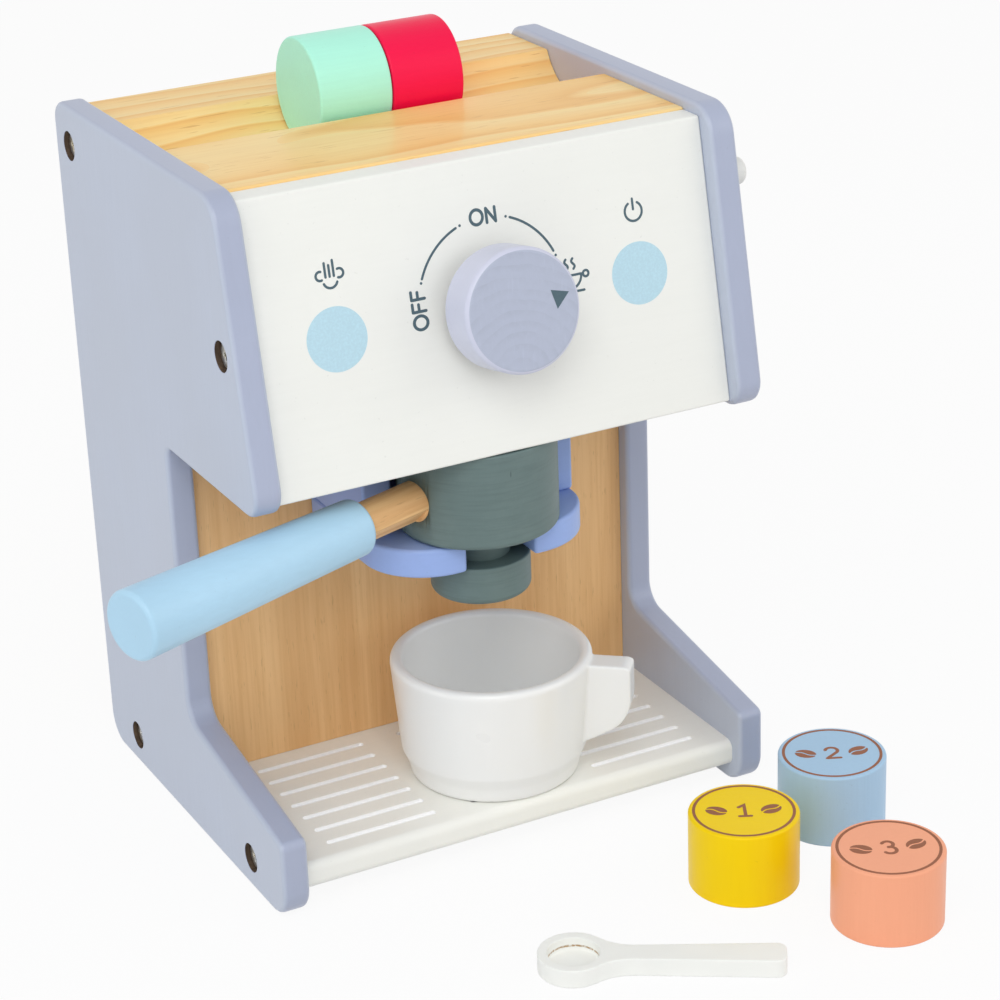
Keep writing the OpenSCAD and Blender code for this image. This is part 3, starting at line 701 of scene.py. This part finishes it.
def print_dial(place, dark):
    """The dial's broken scale with its dots, and the two words on it."""
    scale = [arc((0, 0), DIAL_RADIUS, start, end) for start, end in DIAL_ARCS]
    middles = [arc((0, 0), DIAL_RADIUS, angle, angle, 1)[0] for angle in DIAL_DOTS]
    dots = [ring_outline(middle, DOT_RADIUS, steps=16) for middle in middles]
    print_piece("dial_scale", "front_panel", on_panel(place, DIAL_CENTRE), dark, scale, fills=dots)
    word("word_on", "ON", on_panel(place, ON_CENTRE), dark)
    word("word_off", "OFF", on_panel(place, OFF_CENTRE, 90.0), dark)


def print_steam_sign(place, dark):
    """Three rising lines out of a small cloud."""
    cloud = [arc((-3.1, -0.6), 1.35, 75, 290, 14), arc((0, -2.3), 2.3, 200, 340, 14),
             arc((3.1, -0.6), 1.35, 250, 470, 14)]
    steam = [[(x, -1.2), (x, top)] for x, top in ((-1.35, 3.0), (0, 2.2), (1.35, 3.5))]
    print_piece("sign_steam", "front_panel", on_panel(place, STEAM_CENTRE), dark, cloud + steam)


def print_power_sign(place, dark):
    """The common sign for a switch: a broken ring with an upright line in the gap."""
    strokes = [arc((0, 0), 3.0, 122, 418, 36), [(0, 0.6), (0, 3.9)]]
    print_piece("sign_power", "front_panel", on_panel(place, POWER_CENTRE), dark, strokes)


def print_cup_sign(place, dark):
    """A cup on a saucer, with a ring for its handle and two wavy lines of steam."""
    steps = 10
    sway, foot, rise = 0.5, 5.0, 3.2
    steam = [[(x + sway * math.sin(t / steps * 2 * math.pi), foot + rise * t / steps)
              for t in range(steps + 1)] for x in (-2.4, 0.0)]
    rim = [(-6.0, 3.1), (2.4, 3.1)]
    bowl = arc((-1.8, 3.1), 4.2, 0, -75, 14)
    saucer = [(-4.0, -2.0), (2.9, -2.0)]
    handle = ((4.0, 2.9), 0.95, 1.0, INK_WIDTH)
    print_piece("sign_cup", "front_panel", on_panel(place, CUP_SIGN_CENTRE), dark,
                [*steam, rim, bowl, saucer], rings=[handle])


def print_discs(place, pale):
    """The two blue discs."""
    for name, centre in (("left_disc", LEFT_DISC), ("right_disc", RIGHT_DISC)):
        print_piece(name, "front_panel", on_panel(place, centre), pale,
                    fills=[ring_outline((0, 0), DISC_RADIUS, steps=96)])


def print_pointer(place, dark):
    """The dark triangle on the knob's front."""
    front = max((v.co - KNOB_PLACE).dot(KNOB_AXIS) for v in frame["nodes"]["knob"].data.vertices)
    lifted = place @ Matrix.Translation(Vector((0, 0, front)))
    print_piece("knob_pointer", "knob", lifted, dark, fills=[POINTER])


# The pen strokes of each digit, about its middle.
DIGITS = {
    "1": [[(-1.5, 2.1), (0.3, 3.5), (0.3, -3.5)], [(-1.6, -3.5), (2.0, -3.5)]],
    "2": [arc((0, 1.5), 2.0, 165, -35, 16) + [(-2.1, -3.5)], [(-2.1, -3.5), (2.2, -3.5)]],
    "3": [arc((0, 1.75), 1.75, 150, -90, 16), arc((0, -1.75), 1.95, 90, -150, 16)],
}


def bean_halves(centre, turn):
    """A coffee bean seen from above: an oval, split along its middle by a curved gap."""
    long_half, short_half, gap, bend = 3.5, 2.6, 0.3, 0.4
    seam_half = 0.9 * long_half
    steps = 18
    turned = Matrix.Rotation(math.radians(turn), 2)
    halves = []
    for side in (1, -1):
        angles = (math.pi * i / steps for i in range(1, steps))
        rim = [(long_half * math.cos(a), side * short_half * math.sin(a)) for a in angles]
        shares = (i / steps for i in range(steps + 1))
        seam = [(seam_half * (2 * t - 1), side * gap + bend * math.sin(2 * math.pi * t)) for t in shares]
        shape = [Vector(p) for p in rim + seam if side * p[1] > -bend]
        halves.append([tuple(turned @ p + Vector(centre)) for p in shape])
    return halves


def print_capsule(node, digit, turn, material):
    """A ring, a digit and two beans on a standing capsule's top."""
    low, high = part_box(node)
    middle = (low + high) / 2
    top = Matrix.Translation(Vector((middle.x, middle.y, high.z)))
    place = top @ Matrix.Rotation(math.radians(turn), 4, "Z")
    ring = ((0, 0), CAPSULE_RING_RADIUS, 1.0, CAPSULE_RING_WIDTH)
    beans = [half for centre, bean_turn in BEANS for half in bean_halves(centre, bean_turn)]
    print_piece(node + "_ring", node, place, material, rings=[ring])
    print_piece(node + "_digit", node, place, material, DIGITS[digit], DIGIT_WIDTH)
    print_piece(node + "_beans", node, place, material, fills=beans)


def add_prints(place):
    """Every mark on the panel, the knob and the standing capsules."""
    dark = ink("slate_ink", srgb(78, 100, 110))
    brown = ink("brown_ink", srgb(150, 92, 62))
    print_dial(place, dark)
    print_steam_sign(place, dark)
    print_power_sign(place, dark)
    print_cup_sign(place, dark)
    print_discs(place, ink("disc_ink", srgb(186, 219, 233)))
    print_pointer(place, dark)
    for node, (digit, turn) in CAPSULE_PRINTS.items():
        print_capsule(node, digit, turn, brown)


# ---------- the object ----------


def dress_side_panels():
    """The painted side panels, with painted shade on their front and top edges, and raw wood darkened with
    painted shade in the counterbores over their screws.
    """
    # The darker edge colour is painted shade on the panels' front and top edges.
    lavender = paint("lavender_paint", srgb(189, 198, 216), grain=2, gloss=0.33, edge=srgb(172, 180, 203),
                     specular=0.5)
    # The counterbore lining is raw wood colour darkened with painted shade.
    shaded_lining = raw_wood_with_painted_shade("raw_counterbore_with_painted_shade")
    for side, fixings in (("left", ("left_side_screws",)), ("right", ("right_side_screws", "side_peg"))):
        panel = side + "_side_panel"
        close = near(*fixings)
        dress(panel, lavender, bevel=1.7, extra=[shaded_lining], pick=in_counterbore(panel, near(fixings[0])),
              crisp=lambda edge: close((edge.verts[0].co + edge.verts[1].co) / 2))


def dress_boards():
    """The boards between the side panels."""
    panel_white = paint("panel_white", srgb(243, 244, 239), grain=0, gloss=0.4, texture=0.7, mottle=0.012)
    dress("front_panel", panel_white, bevel=0.8)
    tray_white = paint("tray_white", srgb(247, 247, 241), grain=0, gloss=0.36, texture=0.8, mottle=0.02)
    groove_white = paint("groove_white", srgb(255, 255, 255), grain=0, gloss=0.5, texture=0.3, mottle=0.0)
    dress("tray_board", tray_white, bevel=0.06, segments=1, extra=[groove_white],
          pick=in_grooves("tray_board"))
    low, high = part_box("top_board")
    pith_behind_front, pith_below_board = 42 * MM, 46 * MM
    pith = ((low.x + high.x) / 2, low.y + pith_behind_front, low.z - pith_below_board)
    dress("top_board", pine("pine", pith), bevel=0.7)
    birch = hardwood("birch", srgb(253, 208, 150), srgb(222, 168, 108), grain=2, bands=11.0, contrast=0.6)
    dress("back_panel", birch, bevel=0.3, segments=2)


def dress_fittings():
    """The bracket, the peg, the screws, and the beech pins inside."""
    periwinkle = paint("periwinkle_paint", srgb(156, 182, 238), grain=0, gloss=0.38, texture=1.3)
    dress("bracket_block", periwinkle, bevel=1.2)
    dress("fork_plate", periwinkle, bevel=1.2)
    dress("side_peg", paint("peg_white", srgb(238, 238, 234), grain=0, gloss=0.35))
    steel = zinc("zinc")
    for node in ("left_side_screws", "right_side_screws", "bracket_screws"):
        dress(node, steel, bevel=0.18, segments=2)
    beech = hardwood("beech", srgb(234, 192, 132), srgb(204, 154, 94), grain=0)
    for node in ("back_panel_dowels", "fork_dowels", "knob_axle", "knob_spacer", "knob_collar"):
        coat_node(node, beech)


def dress_knob(place):
    """The knob, with growth rings on its front, and on its side a lighter paint that is painted light from
    the left lamp.
    """
    # The side's lighter colour is painted light, where the side faces the left lamp.
    painted_light_side = paint("knob_painted_light_side", srgb(208, 211, 230), grain=0, gloss=0.3, texture=1.2)
    dress("knob", end_grain_paint("knob_paint", srgb(176, 183, 202), place), extra=[painted_light_side],
          pick=off_axis(KNOB_AXIS))


def dress_portafilter():
    """The slate basket, neck and spout, and the handle, whose grain runs along it."""
    slate = slate_paint("slate_paint")
    dress("basket", slate)
    dress("spout", slate)
    coat_node("neck_dowel", slate)
    handle_turn = -161.1
    coat_node("handle_neck", hardwood("handle_beech", srgb(253, 214, 156), srgb(208, 152, 96), grain=0,
                                      turn=(0, 0, -handle_turn), bands=26.0, contrast=0.7))
    dress("grip", paint("grip_paint", srgb(180, 219, 243), grain=0, gloss=0.36, texture=1.4))


def dress_cup_and_spoon():
    """The cup and the spoon, whose thick paint rounds every edge."""
    soften("cup", cup_glaze("cup_paint"), voxel=0.45, passes=7)
    low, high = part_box("spoon")
    bowl_inset = 11.0 * MM
    bowl_radius = 7.9 * MM
    bowl = (low.x + bowl_inset, high.y - bowl_inset, high.z)
    soften("spoon", spoon_paint("spoon_paint", bowl, bowl_radius), voxel=0.3, passes=4)


def dress_capsules():
    """The capsules' paints. The two in the groove lie with their grain along X."""
    lying = {"capsule_mint": srgb(182, 250, 228), "capsule_red": srgb(250, 20, 78)}
    standing = {"capsule_yellow": srgb(255, 216, 0), "capsule_blue": srgb(174, 208, 236),
                "capsule_salmon": srgb(255, 176, 140)}
    for colours, grain in ((lying, 0), (standing, 2)):
        for node, colour in colours.items():
            dress(node, paint(node + "_paint", colour, grain, gloss=0.34, texture=1.3, specular=0.18))


# ---------- floor, light and camera ----------


def backdrop_colour(tree, plain, seen):
    """Mixes a plain shader with one for what the camera, gloss and glass see."""
    path = tree.nodes.new("ShaderNodeLightPath")
    first = tree.nodes.new("ShaderNodeMath")
    second = tree.nodes.new("ShaderNodeMath")
    first.operation = second.operation = "MAXIMUM"
    tree.links.new(path.outputs["Is Camera Ray"], first.inputs[0])
    tree.links.new(path.outputs["Is Glossy Ray"], first.inputs[1])
    tree.links.new(first.outputs[0], second.inputs[0])
    tree.links.new(path.outputs["Is Transmission Ray"], second.inputs[1])
    mixed = tree.nodes.new("ShaderNodeMixShader")
    tree.links.new(second.outputs[0], mixed.inputs[0])
    tree.links.new(plain, mixed.inputs[1])
    tree.links.new(seen, mixed.inputs[2])
    return mixed.outputs[0]


def add_floor():
    """A pale floor just below the object, nearly white to the camera but still with a shadow."""
    half = 4.0
    gap_below = 0.02 * MM
    share_of_white = 0.92
    floor_grey = (0.86, 0.86, 0.86, 1)
    mesh = bpy.data.meshes.new("floor")
    corners = [(-half, -half, 0), (half, -half, 0), (half, half, 0), (-half, half, 0)]
    mesh.from_pydata(corners, [], [(0, 1, 2, 3)])
    floor = bpy.data.objects.new("floor", mesh)
    bpy.context.scene.collection.objects.link(floor)
    floor.location.z = CAD_BOUNDS[0][2] - gap_below
    material = bpy.data.materials.new("floor")
    material.use_nodes = True
    tree = material.node_tree
    tree.nodes.clear()
    plain = tree.nodes.new("ShaderNodeBsdfDiffuse")
    plain.inputs["Color"].default_value = floor_grey
    white = tree.nodes.new("ShaderNodeEmission")
    white.inputs["Strength"].default_value = 1.0
    seen = tree.nodes.new("ShaderNodeMixShader")
    seen.inputs[0].default_value = share_of_white
    tree.links.new(plain.outputs[0], seen.inputs[1])
    tree.links.new(white.outputs[0], seen.inputs[2])
    output = tree.nodes.new("ShaderNodeOutputMaterial")
    tree.links.new(backdrop_colour(tree, plain.outputs[0], seen.outputs[0]), output.inputs["Surface"])
    mesh.materials.append(material)


def add_world():
    """Soft light from all round, which the camera sees as plain white."""
    ambient = 0.57
    plain_white = (1, 1, 1, 1)
    world = bpy.data.worlds.new("studio")
    world.use_nodes = True
    tree = world.node_tree
    tree.nodes.clear()
    plain = tree.nodes.new("ShaderNodeBackground")
    plain.inputs["Color"].default_value = plain_white
    plain.inputs["Strength"].default_value = ambient
    white = tree.nodes.new("ShaderNodeBackground")
    white.inputs["Color"].default_value = plain_white
    white.inputs["Strength"].default_value = 1.0
    output = tree.nodes.new("ShaderNodeOutputWorld")
    tree.links.new(backdrop_colour(tree, plain.outputs[0], white.outputs[0]), output.inputs["Surface"])
    bpy.context.scene.world = world


def add_softbox(name, place, power, size):
    """A square area lamp that faces the object's middle."""
    target = Vector((0, 0, 0.11))
    lamp = bpy.data.lights.new(name, "AREA")
    lamp.energy = power
    lamp.size = size
    light = bpy.data.objects.new(name, lamp)
    light.location = place
    light.rotation_euler = (target - Vector(place)).to_track_quat("-Z", "Y").to_euler()
    bpy.context.scene.collection.objects.link(light)


def add_camera():
    """The photograph's view, from its azimuth, elevation, roll, focal length and place."""
    a, e, r = (math.radians(v) for v in (CAMERA_AZIMUTH, CAMERA_ELEVATION, CAMERA_ROLL))
    back = Vector((math.sin(a) * math.cos(e), -math.cos(a) * math.cos(e), math.sin(e)))
    level = Vector((math.cos(a), math.sin(a), 0))
    upright = back.cross(level)
    right = math.cos(r) * level + math.sin(r) * upright
    up = -math.sin(r) * level + math.cos(r) * upright
    left_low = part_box("left_side_panel")[0]
    right_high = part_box("right_side_panel")[1]
    origin = Vector(((left_low.x + right_high.x) / 2, right_high.y, 0))
    data = bpy.data.cameras.new("photo_camera")
    data.sensor_width = SENSOR_WIDTH
    data.lens = CAMERA_FOCAL_PX / PHOTO_SIDE_PX * SENSOR_WIDTH
    data.clip_start = 0.01
    data.clip_end = 20.0
    camera = bpy.data.objects.new("photo_camera", data)
    turned = Matrix((right, up, back)).transposed().to_4x4()
    turned.translation = origin + Vector(CAMERA_PLACE) * MM
    camera.matrix_world = turned
    bpy.context.scene.collection.objects.link(camera)
    bpy.context.scene.camera = camera


bpy.context.scene.view_settings.view_transform = "Standard"
add_camera()
add_floor()
add_world()
add_softbox("key", place=(-0.55, -0.95, 1.15), power=7.4, size=0.9)
add_softbox("fill", place=(1.1, -0.9, 0.8), power=3.2, size=1.0)
add_softbox("side", place=(-1.4, -0.25, 0.75), power=3.2, size=1.1)
knob_frame = panel_frame()
dress_side_panels()
dress_boards()
dress_fittings()
dress_knob(knob_frame)
dress_portafilter()
dress_cup_and_spoon()
dress_capsules()
add_prints(knob_frame)
bpy.context.view_layer.update()
